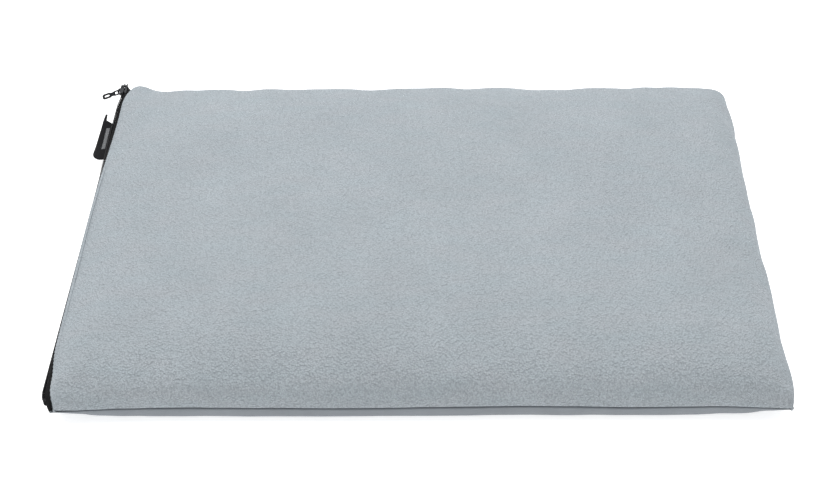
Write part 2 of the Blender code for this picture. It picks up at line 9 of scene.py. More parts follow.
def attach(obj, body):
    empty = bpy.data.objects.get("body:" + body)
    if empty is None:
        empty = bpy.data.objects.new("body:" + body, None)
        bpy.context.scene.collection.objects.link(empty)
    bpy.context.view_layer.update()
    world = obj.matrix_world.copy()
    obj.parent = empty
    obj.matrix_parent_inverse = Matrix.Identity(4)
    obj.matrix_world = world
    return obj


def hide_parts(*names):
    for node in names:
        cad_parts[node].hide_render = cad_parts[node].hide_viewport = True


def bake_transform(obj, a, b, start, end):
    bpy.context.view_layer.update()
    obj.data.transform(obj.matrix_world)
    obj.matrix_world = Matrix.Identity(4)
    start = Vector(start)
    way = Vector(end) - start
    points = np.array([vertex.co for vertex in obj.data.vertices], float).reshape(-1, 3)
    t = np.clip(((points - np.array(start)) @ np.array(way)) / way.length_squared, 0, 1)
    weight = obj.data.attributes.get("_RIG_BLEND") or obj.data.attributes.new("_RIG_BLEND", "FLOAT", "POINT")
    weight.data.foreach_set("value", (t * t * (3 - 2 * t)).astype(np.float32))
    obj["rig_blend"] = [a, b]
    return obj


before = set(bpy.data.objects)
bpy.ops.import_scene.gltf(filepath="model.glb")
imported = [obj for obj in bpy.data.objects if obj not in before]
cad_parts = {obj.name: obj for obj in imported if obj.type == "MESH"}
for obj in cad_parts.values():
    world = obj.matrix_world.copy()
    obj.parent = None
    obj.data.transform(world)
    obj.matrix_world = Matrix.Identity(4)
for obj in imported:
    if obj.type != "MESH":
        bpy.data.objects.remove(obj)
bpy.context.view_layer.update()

MM = 0.001

# ---- the cover: the CAD's main sizes, with sides and corners a few mm off the CAD's ---------
HALF_LENGTH = 300 * MM
HALF_WIDTH = 200 * MM
HEIGHT = 60 * MM
SEAM_Z = 17 * MM
END_PULL = 2 * MM
SIDE_PULL = (3.5 * MM, 8.5 * MM)        # at the middle of the front and the rear side
CORNER_PULL = (1.2 * MM, 6 * MM)        # at the far end's front and rear corner
FRONT_ROUNDING = 2.4 * MM
ZIP_CORNER_PULL = 7 * MM
SHOULDER_X = 7.0
SHOULDER_FRONT = 4.67
SHOULDER_REAR = 3.8
UNDERSIDE_X = 60.0
UNDERSIDE_Y = 42.0
EAR_X = 9.0
EAR_Y = 4.5
EAR_START = 0.02
LOBE = (-0.962, 0.030)      # where along the rear edge the corner by the zip stands up
LOBE_OUT, LOBE_UP = 3.4 * MM, 3.2 * MM
SIDE_WAVE, SIDE_WAVE_LENGTH = 0.8 * MM, 60 * MM
SEAM_WAVE, SEAM_WAVE_LENGTH = 0.9 * MM, 70 * MM
TOP_WAVE, TOP_WAVE_LENGTH = 0.7 * MM, 130 * MM
GAP = 0.3 * MM
FLEECE = 1.8 * MM
WOVEN = 0.8 * MM
LINER = 0.6 * MM
LINER_HALF = (287 * MM, 182.5 * MM)
CORE_HALF = (283 * MM, 178.5 * MM)
INNER_COLUMNS, INNER_ROWS = 80, 56      # of the liner's and the foam's grids

# ---- the zip ------------------------------------------------------------------------------
TAPE_X = -296.3 * MM
CHAIN_Z = 22.5 * MM
CHAIN_TILT = 0.015
CHAIN_TURN = 0.009
RIM_X = 294.2 * MM
RIM_GAP = 10 * MM           # from the chain to the cover's edges, in the middle of the zip
WOVEN_SETBACK = 3.5 * MM    # how far the edges step back near the zip's ends
FLEECE_SETBACK = 2.6 * MM
REAR_TUCK, FRONT_TUCK = 7 * MM, 4.5 * MM
CHAIN_BOW = 1.4 * MM
CHAIN_BEND = 6.6 * MM
RIM_POWER = 8
TAPE = 0.6 * MM
TAPE_EDGE = 1.5 * MM
TAPE_FLAT = 5.2 * MM
TAPE_END_T = 0.90
TAPE_STEPS = 90
TAPE_REAR, TAPE_FRONT = 205.8 * MM, -199.5 * MM
COIL_REAR, COIL_FRONT = 197.4 * MM, -190 * MM
COIL_PITCH = 1.35 * MM
COIL_STEPS = 10             # points in one turn
FILAMENT = 0.34 * MM
STAPLE_WIRE = 0.75 * MM

# ---- hems and seams -----------------------------------------------------------------------
FLEECE_ROLL = 2.3 * MM      # radius with which the fleece turns into a seam
WOVEN_ROLL = 1.3 * MM
HEM_ROLL = 1.9 * MM         # and with which it is folded under at the zip
ALLOWANCE = 7 * MM
HEM_STITCH_S = -1 + 0.022   # the row's place across the grid, and how far it runs
HEM_STITCH_END = 0.84
COLUMNS, ROWS = 110, 74

LABEL_Y = 142 * MM
LABEL_PIVOT = (-296.9 * MM, 17.0 * MM)
LABEL_WIDTH = 15 * MM
LABEL_THICKNESS = 1.0 * MM
LABEL_DROOP = 1.3 * MM
LABEL_CURL = 2.2 * MM
MARK_MIDDLE, MARK_HALF_LENGTH = 5 * MM, 15 * MM
MARK_OUT, MARK_HALF_WIDTH = 8.6 * MM, 1.6 * MM
BAR_PITCH, BAR_HALF = 1.0 * MM, 0.24 * MM
CARE_LABEL_AT = (-289.0 * MM, -60 * MM, 17 * MM)
CARE_LABEL_THICKNESS = 0.3 * MM

# ---- the mouth: how far each point of the lifting side follows the zip ---------------------
FOLD_START, FOLD_END = -202 * MM, -264 * MM
MOUTH_FULL = 95 * MM                # this far from the middle it lifts fully
MOUTH_SHUT = (166 * MM, 192 * MM)   # and past these, at the front and the rear, not at all

# ---- cloth simulation ---------------------------------------------------------------------
BAG_VOXEL = 5 * MM
SIM_FRAMES = 20
SLACK = 0.02
LARGEST_SHIFT = 3 * MM
NEIGHBOURS = 6

# ---- floor, light and camera --------------------------------------------------------------
FLOOR_HALF = 6
FLOOR_Z = -0.4 * MM
FLOOR_GLOW = 0.60           # its emission; it hides nearly all of the contact shadow
SKY_STRENGTH = 0.62
LAMP_AT = (-0.25, 0.75, 2.1)
LAMP_SIZE = (3.2, 2.4)
LAMP_POWER = 58
CAMERA_AT = (0.0323, -0.8773, 0.8817)
CAMERA_LENS = 59.145
CAMERA_ELEVATION, CAMERA_YAW, CAMERA_ROLL = 0.789150, -0.036255, -0.033080


# ============================ surfaces ========================================================

def smoothstep(low, high, value):
    x = np.clip((value - low) / (high - low), 0, 1)
    return x * x * (3 - 2 * x)


def waves(x, y, seed, size):
    """Smooth noise of about -1 to 1 over plan positions, with the given feature size."""
    flat = np.column_stack([np.ravel(x) / size, np.ravel(y) / size])
    values = [noise.noise(Vector((a, b, seed))) for a, b in flat]
    return np.reshape(values, np.shape(x)) * 1.6


def shoulder(fraction, exponent):
    """The crown's profile: 1 in the middle, 0 at the edge; a high exponent is squarer."""
    return np.sqrt(np.maximum(0, 1 - np.abs(fraction) ** exponent))


def rim_reach(v, side):
    """How far out the cover's edges reach along the zip: less towards its sewn ends."""
    if side < 0:
        return RIM_X - WOVEN_SETBACK * smoothstep(0.90, 1.03, np.abs(v))
    rear = FLEECE_SETBACK * smoothstep(-0.1, 0.8, v) + REAR_TUCK * smoothstep(0.87, 1.03, v)
    front = (FLEECE_SETBACK * smoothstep(0.72, 0.9, -v)
             + FRONT_TUCK * smoothstep(0.92, 1.03, -v))
    return RIM_X - rear - front


def plan(u, v, side):
    """Plan position of the cover, with the slight waviness of its sewn sides."""
    corner = np.where(v > 0, CORNER_PULL[1], CORNER_PULL[0])
    corner = corner * np.maximum(0, u) ** 12 * np.abs(v) ** 12
    at_far = HALF_LENGTH - END_PULL * (1 - v * v) - corner
    at_far = at_far - FRONT_ROUNDING * np.maximum(0, -v) ** 30
    half_x = np.where(u < 0, rim_reach(v, side), at_far)
    half_y = HALF_WIDTH - np.where(v > 0, SIDE_PULL[1], SIDE_PULL[0]) * (1 - u ** 8) - corner
    half_y = half_y - np.where(v > 0, ZIP_CORNER_PULL * np.maximum(0, -u) ** 8, 0)
    x, y = u * half_x, v * half_y
    y = y + LOBE_OUT * lobe(u) * smoothstep(0.8, 1.0, v)
    at_sides = np.abs(v) ** 10 * (1 - u ** 8)
    y = y + SIDE_WAVE * at_sides * waves(x, y, 3.0, SIDE_WAVE_LENGTH)
    at_end = np.maximum(0, u) ** 10 * (1 - v ** 8)
    x = x + SIDE_WAVE * at_end * waves(x, y, 5.0, SIDE_WAVE_LENGTH)
    return x, y


def lobe(u):
    """1 where the corner by the slider stands up, 0 away from it."""
    centre, width = LOBE
    return np.exp(-((u - centre) / width) ** 2)


def seam_height(x, y):
    return SEAM_Z + SEAM_WAVE * waves(x, y, 9.0, SEAM_WAVE_LENGTH)


def zip_edge(y, v, side):
    """Height of the cover's edge by the zip: above or below the chain, closer at its ends."""
    if side > 0:
        closing = 6.2 * smoothstep(0.1, 0.8, v) + 3.0 * smoothstep(0.7, 0.9, -v)
        closing = closing + 6.4 * smoothstep(0.9, 1.0, -v)
    else:
        closing = 6.5 * smoothstep(0.6, 1.0, v) + 9.0 * smoothstep(0.75, 1.0, -v)
    return CHAIN_Z + CHAIN_TILT * y + side * (RIM_GAP - closing * MM)


def roll_radius(u, v, sewn, side):
    """Radius of the turn at the rim: smaller at the corners, where the cloths lie flat."""
    flat = 1 - 0.6 * (np.abs(u) * np.abs(v)) ** 6
    at_zip = np.maximum(0, -u) ** 14
    hem = (HEM_ROLL if side > 0 else WOVEN_ROLL) * (1 - 0.6 * np.abs(v) ** 12)
    return sewn * flat * (1 - at_zip) + hem * at_zip


def rim_height(x, y, u, v, side):
    """Where the cloth turns over: above or below the seam by the radius of the turn."""
    roll = roll_radius(u, v, FLEECE_ROLL if side > 0 else WOVEN_ROLL, side)
    sewn = seam_height(x, y) + side * (GAP / 2 + roll)
    at_zip = zip_edge(y, v, side) + side * roll
    ramp = np.maximum(0, -u) ** 14
    return sewn + (at_zip - sewn) * ramp


def top_shape(u, v):
    """The fleece's surface, from the rim up to the crown."""
    x, y = plan(u, v, 1)
    across = shoulder(u, SHOULDER_X)
    rim = rim_height(x, y, u, v, 1)
    right = smoothstep(-0.6, 0.8, u)
    exponent = np.where(v > 0, SHOULDER_REAR + 0.4 - 1.0 * right, SHOULDER_FRONT)
    sideways = shoulder(v, exponent)
    least = 1e-9 + across ** 2 + sideways ** 2 - (across * sideways) ** 2
    fullness = 0.5 - np.where(v > 0, 0.3, 0) * smoothstep(0, 0.8, u)
    rise = across * sideways / least ** fullness
    z = rim + (HEIGHT - rim) * rise
    z = z + TOP_WAVE * rise * waves(x, y, 1.0, TOP_WAVE_LENGTH)
    z = z + LOBE_UP * lobe(u) * smoothstep(0.75, 0.93, v) * (1 - np.abs(v) ** 30)
    return np.stack([x, y, z], -1)


def hollow(u, v):
    """Height of the underside as a share of the rim's: 0 where it lies, 1 at edge and ears."""
    flat = np.minimum(1, 1.08 * shoulder(u, UNDERSIDE_X) * shoulder(v, UNDERSIDE_Y))
    ear = np.maximum(0, np.abs(u) ** EAR_X * np.abs(v) ** EAR_Y - EAR_START) / (1 - EAR_START)
    return 1 - flat * (1 - ear)


def bottom_shape(u, v):
    x, y = plan(u, v, -1)
    rim = rim_height(x, y, u, v, -1)
    return np.stack([x, y, rim * hollow(u, v)], -1)


def grid_of(shape, columns=COLUMNS, rows=ROWS):
    s = np.linspace(-1, 1, columns + 1)[:, None] * np.ones(rows + 1)
    t = np.ones(columns + 1)[:, None] * np.linspace(-1, 1, rows + 1)
    u, v = np.sin(np.pi / 2 * s), np.sin(np.pi / 2 * t)
    return shape(u, v), u, v


def perimeter(columns, rows):
    """Grid indices once round the edge: front, far end, rear, zip end."""
    loop = [(i, 0) for i in range(columns)]
    loop += [(columns, j) for j in range(rows)]
    loop += [(i, rows) for i in range(columns, 0, -1)]
    loop += [(0, j) for j in range(rows, 0, -1)]
    return loop


def inward_of(rim):
    """Level directions into the pillow from each point of its rim, evened out."""
    ahead = np.roll(rim, -2, 0) - np.roll(rim, 2, 0)
    inward = np.column_stack([-ahead[:, 1], ahead[:, 0]])
    for _ in range(2):
        inward = inward / np.linalg.norm(inward, axis=1)[:, None]
        inward = inward + 0.5 * (np.roll(inward, 1, 0) + np.roll(inward, -1, 0))
    return inward / np.linalg.norm(inward, axis=1)[:, None]


def skirt(points, u, v, side):
    """Rings past the rim: the cloth rolls in and runs on as the seam allowance or hem."""
    loop = perimeter(points.shape[0] - 1, points.shape[1] - 1)
    rim = np.array([points[i] for i in loop])
    at_u = np.array([u[i] for i in loop])
    at_v = np.array([v[i] for i in loop])
    inward = inward_of(rim)
    roll = roll_radius(at_u, at_v, FLEECE_ROLL if side > 0 else WOVEN_ROLL, side)
    at_zip = np.maximum(0, -at_u) ** 30
    turn = np.radians(90 + 85 * at_zip)
    corner = np.min([np.hypot(rim[:, 0] - x, rim[:, 1] - y)
                     for x, y in (rim[0, :2], *[rim[k, :2] for k in corner_places(points)])], 0)
    tail = ALLOWANCE * (0.08 + 0.92 * smoothstep(0, 40 * MM, corner))
    rings = []
    for share in (0.25, 0.5, 0.75, 1.0, 1.5, 2.0):
        angle = turn * min(share, 1.0)
        out = roll * (1 - np.cos(angle)) + np.sin(turn) * tail * max(0, share - 1)
        down = roll * np.sin(angle) + np.cos(turn) * tail * max(0, share - 1)
        ring = rim.copy()
        ring[:, :2] += inward * out[:, None]
        ring[:, 2] -= side * down
        rings.append(ring)
    return loop, rings


def corner_places(points):
    """Where three of the corners are in the perimeter; the first one is at its start."""
    columns, rows = points.shape[0] - 1, points.shape[1] - 1
    return [columns, columns + rows, 2 * columns + rows]


# ============================ meshes ==========================================================

def add_mesh(name, vertices, faces, uvs=None):
    mesh = bpy.data.meshes.new(name)
    mesh.from_pydata([tuple(p) for p in vertices], [], faces)
    if uvs is not None:
        layer = mesh.uv_layers.new(name="cloth")
        corners = np.zeros(len(mesh.loops), int)
        mesh.loops.foreach_get("vertex_index", corners)
        layer.data.foreach_set("uv", np.asarray(uvs, np.float32)[corners].ravel())
    obj = bpy.data.objects.new(name, mesh)
    bpy.context.scene.collection.objects.link(obj)
    return obj


def grid_faces(columns, rows, flip=False):
    faces = []
    for i in range(columns):
        for j in range(rows):
            a = i * (rows + 1) + j
            face = (a, a + rows + 1, a + rows + 2, a + 1)
            faces.append(face[::-1] if flip else face)
    return faces


def closed_bag(top, bottom):
    """Vertices and faces of two grids joined round their edges."""
    columns, rows = top.shape[0] - 1, top.shape[1] - 1
    count = (columns + 1) * (rows + 1)
    vertices = np.concatenate([top.reshape(-1, 3), bottom.reshape(-1, 3)])
    faces = grid_faces(columns, rows)
    faces += [tuple(count + k for k in face) for face in grid_faces(columns, rows, flip=True)]
    loop = [i * (rows + 1) + j for i, j in perimeter(columns, rows)]
    for k, at in enumerate(loop):
        after = loop[(k + 1) % len(loop)]
        faces.append((at, count + at, count + after, after))
    return vertices, faces


def cloth_lengths(points):
    """Distances over the cloth from its middle, so that its texture isn't stretched."""
    def run(along):
        step = np.linalg.norm(np.diff(along, axis=0), axis=2)
        total = np.concatenate([np.zeros((1, step.shape[1])), np.cumsum(step, 0)])
        return total - total[len(total) // 2]
    lengths = run(points)
    widths = run(points.transpose(1, 0, 2)).T
    return np.stack([lengths, widths], -1)


def panel(name, points, u, v, side, thickness):
    """A cover panel with its rolled edges, subdivided and given the cloth's thickness."""
    columns, rows = points.shape[0] - 1, points.shape[1] - 1
    uv = cloth_lengths(points)
    loop, rings = skirt(points, u, v, side)
    vertices = list(points.reshape(-1, 3))
    uvs = list(uv.reshape(-1, 2))
    faces = grid_faces(columns, rows, flip=side < 0)
    previous = [i * (rows + 1) + j for i, j in loop]
    edge_uv = np.array([uv[place] for place in loop])
    middle = edge_uv / np.maximum(1e-6, np.linalg.norm(edge_uv, axis=1))[:, None]
    run = np.zeros(len(loop))
    last = np.array([points[place] for place in loop])
    for ring in rings:
        run += np.linalg.norm(ring - last, axis=1)
        last = ring
        base = len(vertices)
        vertices.extend(ring)
        uvs.extend(edge_uv + middle * run[:, None])
        current = list(range(base, base + len(loop)))
        for k in range(len(loop)):
            n = (k + 1) % len(loop)
            face = (previous[k], current[k], current[n], previous[n])
            faces.append(face[::-1] if side < 0 else face)
        previous = current
    obj = add_mesh(name, vertices, faces, uvs)
    finish_cloth(obj, thickness, 1)
    return obj


def finish_cloth(obj, thickness, levels, offset=-1):
    if levels:
        modifier = obj.modifiers.new("subdivision", "SUBSURF")
        modifier.levels = modifier.render_levels = levels
    modifier = obj.modifiers.new("thickness", "SOLIDIFY")
    modifier.thickness = thickness
    modifier.offset = offset
    bake(obj)


def bake(obj):
    """Apply all modifiers."""
    depsgraph = bpy.context.evaluated_depsgraph_get()
    mesh = bpy.data.meshes.new_from_object(obj.evaluated_get(depsgraph))
    obj.modifiers.clear()
    obj.data = mesh
    mesh.shade_smooth()


def tube_mesh(name, paths, radius, sides=6):
    """Tubes along the paths; each path is an array of points."""
    vertices, faces = [], []
    for path in paths:
        path = np.asarray(path)
        ahead = np.gradient(path, axis=0)
        ahead /= np.linalg.norm(ahead, axis=1)[:, None]
        helper = np.where(np.abs(ahead[:, 2:]) < 0.9, [[0, 0, 1.0]], [[1.0, 0, 0]])
        first = np.cross(ahead, helper)
        first /= np.linalg.norm(first, axis=1)[:, None]
        second = np.cross(ahead, first)
        radii = np.broadcast_to(radius, len(path))
        base = len(vertices)
        for k in range(sides):
            a = 2 * math.pi * k / sides
            ring = first * math.cos(a) + second * math.sin(a)
            vertices.append(path + ring * radii[:, None])
        stacked = np.stack(vertices[base:], 1).reshape(-1, 3)
        del vertices[base:]
        vertices.extend(stacked)
        count = len(path)
        for i in range(count - 1):
            for k in range(sides):
                n = (k + 1) % sides
                low, high = base + i * sides, base + (i + 1) * sides
                faces.append((low + k, low + n, high + n, high + k))
        faces.append(tuple(base + k for k in reversed(range(sides))))
        faces.append(tuple(base + (count - 1) * sides + k for k in range(sides)))
    obj = add_mesh(name, vertices, faces)
    obj.data.shade_smooth()
    return obj


def stitches(name, route, length=3.0 * MM, space=0.7 * MM, radius=0.26 * MM, sink=0.35 * MM):
    """Single stitches along a route of (point, outward) pairs, their ends pulled in."""
    points = np.array([p for p, _ in route])
    outward = np.array([n for _, n in route])
    step = np.linalg.norm(np.diff(points, axis=0), axis=1)
    run = np.concatenate([[0], np.cumsum(step)])
    paths = []
    at = 0.0
    while at + length < run[-1]:
        where = np.linspace(at, at + length, 6)
        path = np.column_stack([np.interp(where, run, points[:, k]) for k in range(3)])
        away = np.column_stack([np.interp(where, run, outward[:, k]) for k in range(3)])
        arch = np.sin(np.linspace(0, math.pi, 6)) ** 0.5
        paths.append(path + away * ((arch - 1) * sink)[:, None])
        at += length + space
    return tube_mesh(name, paths, radius)


# ============================ cloth simulation =================================================

def inflate(grids, slack, cap):
    """Run the cover as a bag of cloth with a little excess, and return how its grids move."""
    (top, _, _), (bottom, _, _) = grids
    bag = add_mesh("bag", *closed_bag(top, bottom))
    modifier = bag.modifiers.new("remesh", "REMESH")
    modifier.mode = "VOXEL"
    modifier.voxel_size = BAG_VOXEL
    bake(bag)
    rest = mesh_points(bag)

    reach = np.maximum(np.abs(rest[:, 0]) / HALF_LENGTH, np.abs(rest[:, 1]) / HALF_WIDTH)
    middle = 1 - smoothstep(0.70, 0.86, reach)
    at_rim = (1 - smoothstep(2 * MM, 6 * MM, np.abs(rest[:, 2] - SEAM_Z))) * smoothstep(
        0.95, 0.975, reach)
    at_zip = 1 - smoothstep(-297 * MM, -270 * MM, rest[:, 0])
    resting = 1 - smoothstep(1.5 * MM, 5 * MM, rest[:, 2])
    held = np.clip(np.max([middle, at_rim, at_zip, resting], 0), 0, 1)
    group = bag.vertex_groups.new(name="held")
    for index, weight in enumerate(held):
        group.add([index], float(weight), "REPLACE")

    cloth = bag.modifiers.new("cloth", "CLOTH")
    settings = cloth.settings
    settings.quality = 6
    settings.mass = 0.25
    settings.tension_stiffness = settings.compression_stiffness = 20
    settings.shear_stiffness = 8
    settings.bending_stiffness = 0.35
    settings.tension_damping = settings.compression_damping = 8
    settings.air_damping = 2
    settings.use_pressure = True
    settings.uniform_pressure_force = 3
    settings.shrink_min = -slack
    settings.vertex_group_mass = "held"
    settings.pin_stiffness = 20
    settings.effector_weights.gravity = 0
    cloth.collision_settings.use_collision = False
    cloth.point_cache.frame_end = SIM_FRAMES
    scene = bpy.context.scene
    for number in range(1, SIM_FRAMES + 1):
        scene.frame_set(number)
    bake(bag)
    moved = mesh_points(bag) - rest
    scene.frame_set(1)
    bpy.data.objects.remove(bag, do_unlink=True)

    size = np.linalg.norm(moved, axis=1)
    moved *= (np.minimum(size, cap) / np.maximum(size, 1e-9))[:, None]
    tree = KDTree(len(rest))
    for index, point in enumerate(rest):
        tree.insert(point, index)
    tree.balance()
    shifts = []
    for points, _, _ in grids:
        shift = np.zeros(points.reshape(-1, 3).shape)
        for row, point in enumerate(points.reshape(-1, 3)):
            near = tree.find_n(point, NEIGHBOURS)
            weights = np.array([1 / (distance + 1.5 * MM) ** 2 for _, _, distance in near])
            found = moved[[index for _, index, _ in near]]
            shift[row] = (found * weights[:, None]).sum(0) / weights.sum()
        shifts.append(shift.reshape(points.shape))
    return shifts


def mesh_points(obj):
    flat = np.zeros(len(obj.data.vertices) * 3)
    obj.data.vertices.foreach_get("co", flat)
    return flat.reshape(-1, 3)


# ============================ materials ========================================================

class Finish:
    """A procedural material, built node by node."""

    def __init__(self, name, coordinates="cloth"):
        self.material = bpy.data.materials.new(name)
        self.material.use_nodes = True
        self.tree = self.material.node_tree
        self.shader = self.tree.nodes["Principled BSDF"]
        if coordinates == "cloth":
            self.where = self.add("UVMap", uv_map="cloth")["UV"]
        else:
            self.where = self.add("TexCoord")["Object"]

    def add(self, kind, inputs=None, **settings):
        node = self.tree.nodes.new("ShaderNode" + kind)
        for key, value in settings.items():
            setattr(node, key, value)
        for key, value in (inputs or {}).items():
            self.put(node.inputs[key], value)
        return node.outputs

    def put(self, socket, value):
        if isinstance(value, bpy.types.NodeSocket):
            self.tree.links.new(value, socket)
        else:
            socket.default_value = value

    def math(self, operation, a, b=0.0, clamp=False):
        made = self.add("Math", {0: a, 1: b}, operation=operation, use_clamp=clamp)
        return made["Value"]

    def ramp(self, value, low, high, to_low=0.0, to_high=1.0):
        made = self.add("MapRange", {"Value": value, "From Min": low, "From Max": high,
                                     "To Min": to_low, "To Max": to_high})
        return made["Result"]

    def noise(self, size, detail=2.0, stretch=None, roughness=0.5, distortion=0.0):
        """Noise with features of about that size in metres."""
        where = self.where
        if stretch:
            where = self.add("Mapping", {"Vector": where, "Scale": stretch})["Vector"]
        made = self.add("TexNoise", {"Vector": where, "Scale": 1 / size, "Detail": detail,
                                     "Roughness": roughness, "Distortion": distortion})
        return made["Fac"]

    def cells(self, size, smoothness):
        inputs = {"Vector": self.where, "Scale": 1 / size, "Smoothness": smoothness}
        return self.add("TexVoronoi", inputs, feature="SMOOTH_F1")["Distance"]

    def threads(self, pitch, along):
        """Rounded parallel threads with that spacing; along is the axis they repeat on."""
        where = self.add("SeparateXYZ", {"Vector": self.where})[along]
        phase = self.math("MULTIPLY", where, 2 * math.pi / pitch)
        return self.ramp(self.math("SINE", phase), -1, 1)

    def mix(self, share, first, second):
        made = self.add("Mix", {"Factor": share, "A": first, "B": second}, data_type="RGBA")
        return made["Result"]

    def bump(self, height, distance, strength=1.0, onto=None):
        inputs = {"Height": height, "Distance": distance, "Strength": strength}
        if onto is not None:
            inputs["Normal"] = onto
        return self.add("Bump", inputs)["Normal"]

    def set(self, **inputs):
        for key, value in inputs.items():
            self.put(self.shader.inputs[key.replace("_", " ")], value)
        return self.material


def rgba(red, green, blue):
    return (red, green, blue, 1.0)


def scaled(colour, share):
    return rgba(*[c * share for c in colour[:3]])


def brushed_fleece():
    """Short napped fleece: clumped grain, with painted shade in its pits that is stronger toward the front.
    """
    m = Finish("brushed_fleece")
    colour = rgba(0.414, 0.453, 0.483)
    grain = m.cells(1.6 * MM, 0.35)
    clumps = m.noise(4 * MM, detail=3, roughness=0.65)
    nap = m.noise(1.2 * MM, detail=3, roughness=0.75)
    mottle = m.noise(75 * MM, detail=3, roughness=0.55)
    streak = m.noise(16 * MM, detail=2, stretch=(0.35, 1.0, 1.0))
    tone = m.mix(m.ramp(mottle, 0.3, 0.7), scaled(colour, 0.95), scaled(colour, 1.05))
    warm = m.mix(m.ramp(streak, 0.3, 0.7), rgba(0.975, 1.0, 1.0), rgba(1.02, 1.0, 0.995))
    tone = m.add("Mix", {"Factor": 1.0, "A": tone, "B": warm}, data_type="RGBA",
                 blend_type="MULTIPLY")["Result"]
    # painted shade: the grain's pits darkened, mixed with some random nap tone
    painted_pit_shade = m.math("ADD", m.ramp(grain, 0.1, 0.75), m.ramp(nap, 0.3, 0.7, -0.35, 0.35))
    # the painted shade grows toward the front edge, standing in for grazing light there
    front = m.add("SeparateXYZ", {"Vector": m.where})["Y"]
    painted_front_shade = m.ramp(front, -130 * MM, -200 * MM, 0.50, 0.63)
    tone = m.mix(m.math("MULTIPLY", painted_pit_shade, painted_front_shade, clamp=True), tone, scaled(colour, 0.58))
    height = m.math("SUBTRACT", m.math("MULTIPLY", clumps, 0.8), grain)
    normal = m.bump(height, 1.15 * MM, 1.0)
    normal = m.bump(nap, 0.35 * MM, 0.7, onto=normal)
    return m.set(Base_Color=tone, Roughness=m.ramp(nap, 0.2, 0.8, 0.85, 1.0), Normal=normal,
                 Sheen_Weight=0.18, Sheen_Roughness=0.45, Sheen_Tint=rgba(0.80, 0.86, 0.92),
                 Specular_IOR_Level=0.12)


def woven(name, colour, pitch, shine=0.3, valley_shade=0.25, slub=0.12):
    """A plain weave: threads crossing over and under, with uneven yarn and painted shade between the
    threads.
    """
    m = Finish(name)
    warp, weft = m.threads(pitch, "X"), m.threads(pitch, "Y")
    over = m.threads(pitch * 2, "X")
    under = m.threads(pitch * 2, "Y")
    turn = m.math("GREATER_THAN", m.math("MULTIPLY", m.math("SUBTRACT", over, 0.5),
                                         m.math("SUBTRACT", under, 0.5)), 0.0)
    height = m.add("Mix", {"Factor": turn, "A": warp, "B": weft}, data_type="FLOAT")["Result"]
    yarn = m.noise(14 * MM, detail=3, stretch=(1.0, 0.06, 1.0))
    cross = m.noise(14 * MM, detail=3, stretch=(0.06, 1.0, 1.0))
    broad = m.noise(60 * MM, detail=2)
    uneven = m.math("ADD", m.math("ADD", yarn, cross), broad)
    tone = m.mix(m.ramp(uneven, 1.0, 2.0), scaled(colour, 1 - slub), scaled(colour, 1 + slub))
    # painted shade: darker where the threads dip, between them
    tone = m.mix(m.math("MULTIPLY", m.math("SUBTRACT", 1.0, height), valley_shade), tone,
                 scaled(colour, 0.45))
    normal = m.bump(height, pitch * 0.35, 0.6)
    normal = m.bump(uneven, 0.5 * MM, 0.35, onto=normal)
    return m.set(Base_Color=tone, Roughness=m.ramp(uneven, 1, 2, 0.62, 0.85), Normal=normal,
                 Specular_IOR_Level=shine, Sheen_Weight=0.1, Sheen_Roughness=0.5)


def knit(name, colour):
    """Fine knit: ribs one way, loops the other, with painted shade between them."""
    m = Finish(name)
    ribs = m.threads(1.1 * MM, "X")
    loops = m.threads(0.9 * MM, "Y")
    broad = m.noise(40 * MM, detail=3)
    fuzz = m.noise(0.8 * MM, detail=2)
    height = m.math("ADD", m.math("MULTIPLY", ribs, loops), m.math("MULTIPLY", fuzz, 0.5))
    tone = m.mix(m.ramp(broad, 0.3, 0.7), scaled(colour, 0.93), colour)
    # painted shade: darker where the ribs and loops dip
    tone = m.mix(m.ramp(height, 0.2, 0.9, 0.35, 0.0), tone, scaled(colour, 0.6))
    return m.set(Base_Color=tone, Roughness=m.ramp(fuzz, 0.2, 0.8, 0.85, 1.0),
                 Normal=m.bump(height, 0.3 * MM, 0.7), Sheen_Weight=0.15)


def open_cell_foam():
    m = Finish("open_cell_foam", "object")
    bubbles = m.cells(1.6 * MM, 0.2)
    fine = m.noise(0.7 * MM, detail=3)
    broad = m.noise(80 * MM, detail=2)
    colour = rgba(0.80, 0.72, 0.54)
    tone = m.mix(m.ramp(broad, 0.3, 0.7), scaled(colour, 0.93), colour)
    # painted shade: darker brown inside the pores
    tone = m.mix(m.ramp(bubbles, 0.0, 0.35, 0.55, 0.0), tone, rgba(0.42, 0.34, 0.22))
    height = m.math("ADD", bubbles, m.math("MULTIPLY", fine, 0.3))
    return m.set(Base_Color=tone, Roughness=m.ramp(fine, 0.2, 0.8, 0.85, 1.0),
                 Normal=m.bump(height, 0.8 * MM, 0.9), Subsurface_Weight=0.05)


def zip_tape():
    """Black twill tape: diagonal ribs that turn at the middle of its width, with painted shade in the
    hollows between them.
    """
    m = Finish("zip_tape")
    axes = m.add("SeparateXYZ", {"Vector": m.where})
    slope = m.math("ADD", m.math("ABSOLUTE", axes["Y"]), axes["X"])
    ribs = m.ramp(m.math("SINE", m.math("MULTIPLY", slope, 2 * math.pi / (1.1 * MM))), -1, 1)
    fuzz = m.noise(1.2 * MM, detail=3)
    height = m.math("ADD", ribs, m.math("MULTIPLY", fuzz, 0.6))
    # painted shade: a little darker in the hollows between the ribs
    tone = m.mix(m.ramp(height, 0.2, 1.5), rgba(0.003, 0.003, 0.003), rgba(0.011, 0.011, 0.012))
    return m.set(Base_Color=tone, Roughness=m.ramp(fuzz, 0.2, 0.8, 0.6, 0.85),
                 Normal=m.bump(height, 0.25 * MM, 0.8), Specular_IOR_Level=0.15)


